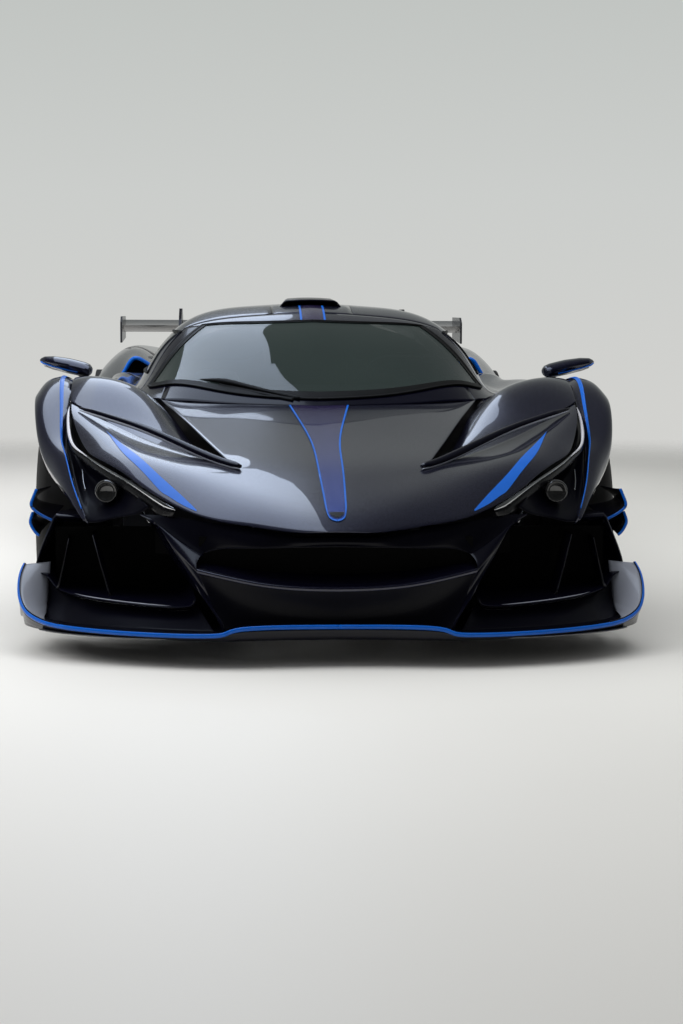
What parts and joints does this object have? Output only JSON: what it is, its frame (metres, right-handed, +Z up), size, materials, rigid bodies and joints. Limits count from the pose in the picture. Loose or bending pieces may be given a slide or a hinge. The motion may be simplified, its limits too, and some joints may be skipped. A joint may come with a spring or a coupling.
{
  "type": "hypercar",
  "caption": "Low mid-engined two-seat hypercar with blade fenders, deep side intakes, a flat splitter, top-hinged doors, a roof scoop and a wing on swan-neck pylons.",
  "frame": {"origin": "on the ground at the middle of the car's overall length and width", "axes": "+Z up, nose towards -Y, +X is the car's left side"},
  "size_m": [2.036, 5.066, 1.128],
  "materials": {
    "carbon_body": "deep blue-black metallic gloss",
    "black_trim": "gloss black",
    "blue_edge": "gloss black with a blue edge",
    "bare_carbon": "satin",
    "glass": "clear tinted",
    "side_glass": "dark tinted",
    "mesh": "satin",
    "lamp": "clear",
    "tail_lamp": "gloss",
    "tub": "satin",
    "seat_cover": "soft",
    "dash": "soft",
    "wheel_cover": "soft",
    "rubber": "matt",
    "alloy": "dark satin",
    "steel": "satin",
    "cast_alloy": "cast",
    "pipe": "heat-tinted"
  },
  "bodies": {
    "body": {"floor_pan": "bare_carbon", "monocoque": "tub", "front_splitter": "blue_edge", "canards": "blue_edge", "front_bumper": "black_trim", "grilles": "mesh", "bonnet": "carbon_body", "front_fender_left": "carbon_body", "front_fender_right": "carbon_body", "headlamps": "lamp", "windscreen": "glass", "cabin_frame": "carbon_body", "roof_scoop": "black_trim", "side_skirts": "black_trim", "rear_fender_left": "carbon_body", "rear_fender_right": "carbon_body", "rear_wing": "bare_carbon", "wing_pylons": "blue_edge", "diffuser": "bare_carbon", "tail_panel": "black_trim", "tail_lamps": "tail_lamp", "exhausts": "pipe", "engine": "cast_alloy", "seats": "seat_cover", "dashboard": "dash", "front_suspension": "steel", "rear_suspension": "steel", "mirrors": "carbon_body", "wiper": "bare_carbon"},
    "door_left": {"door_left": "carbon_body", "door_glass_left": "side_glass"},
    "door_right": {"door_right": "carbon_body", "door_glass_right": "side_glass"},
    "engine_cover": {"engine_cover": "carbon_body"},
    "steering_wheel": {"steering_wheel": "wheel_cover"},
    "knuckle_left": {"front_knuckle_left": "steel"},
    "knuckle_right": {"front_knuckle_right": "steel"},
    "front_wheel_left": {"front_tyre_left": "rubber", "front_rim_left": "alloy"},
    "front_wheel_right": {"front_tyre_right": "rubber", "front_rim_right": "alloy"},
    "rear_wheel_left": {"rear_tyre_left": "rubber", "rear_rim_left": "alloy"},
    "rear_wheel_right": {"rear_tyre_right": "rubber", "rear_rim_right": "alloy"}
  },
  "joints": [
    {"name": "steer_left", "type": "hinge", "parent": "body", "child": "knuckle_left", "pos_m": [0.735, -1.403, 0.343], "axis": [0, 0, 1], "range_deg": [-28, 28]},
    {"name": "steer_right", "type": "hinge", "parent": "body", "child": "knuckle_right", "pos_m": [-0.735, -1.403, 0.343], "axis": [0, 0, 1], "range_deg": [-28, 28]},
    {"name": "steering_column", "type": "hinge", "parent": "body", "child": "steering_wheel", "pos_m": [0.375, -0.833, 0.64], "axis": [0, 0.9511, 0.309], "range_deg": [-336, 336]},
    {"name": "door_left_hinge", "type": "hinge", "parent": "body", "child": "door_left", "pos_m": [0.162, -0.083, 1.0855], "axis": [0, -1, 0], "range_deg": [0, 75]},
    {"name": "door_right_hinge", "type": "hinge", "parent": "body", "child": "door_right", "pos_m": [-0.162, -0.083, 1.0855], "axis": [0, 1, 0], "range_deg": [0, 75]},
    {"name": "engine_cover_hinge", "type": "hinge", "parent": "body", "child": "engine_cover", "pos_m": [0, 0.515, 1.047], "axis": [1, 0, 0], "range_deg": [0, 50]},
    {"name": "front_wheel_left_spin", "type": "hinge", "parent": "knuckle_left", "child": "front_wheel_left", "pos_m": [0.845, -1.403, 0.343], "axis": [1, 0, 0], "continuous": true},
    {"name": "front_wheel_right_spin", "type": "hinge", "parent": "knuckle_right", "child": "front_wheel_right", "pos_m": [-0.845, -1.403, 0.343], "axis": [1, 0, 0], "continuous": true},
    {"name": "rear_wheel_left_spin", "type": "hinge", "parent": "body", "child": "rear_wheel_left", "pos_m": [0.81, 1.297, 0.364], "axis": [1, 0, 0], "continuous": true},
    {"name": "rear_wheel_right_spin", "type": "hinge", "parent": "body", "child": "rear_wheel_right", "pos_m": [-0.81, 1.297, 0.364], "axis": [1, 0, 0], "continuous": true}
  ],
  "couplings": [
    {"joint": "steer_right", "follows": "steer_left", "ratio": 1},
    {"joint": "steering_column", "follows": "steer_left", "ratio": -12}
  ]
}
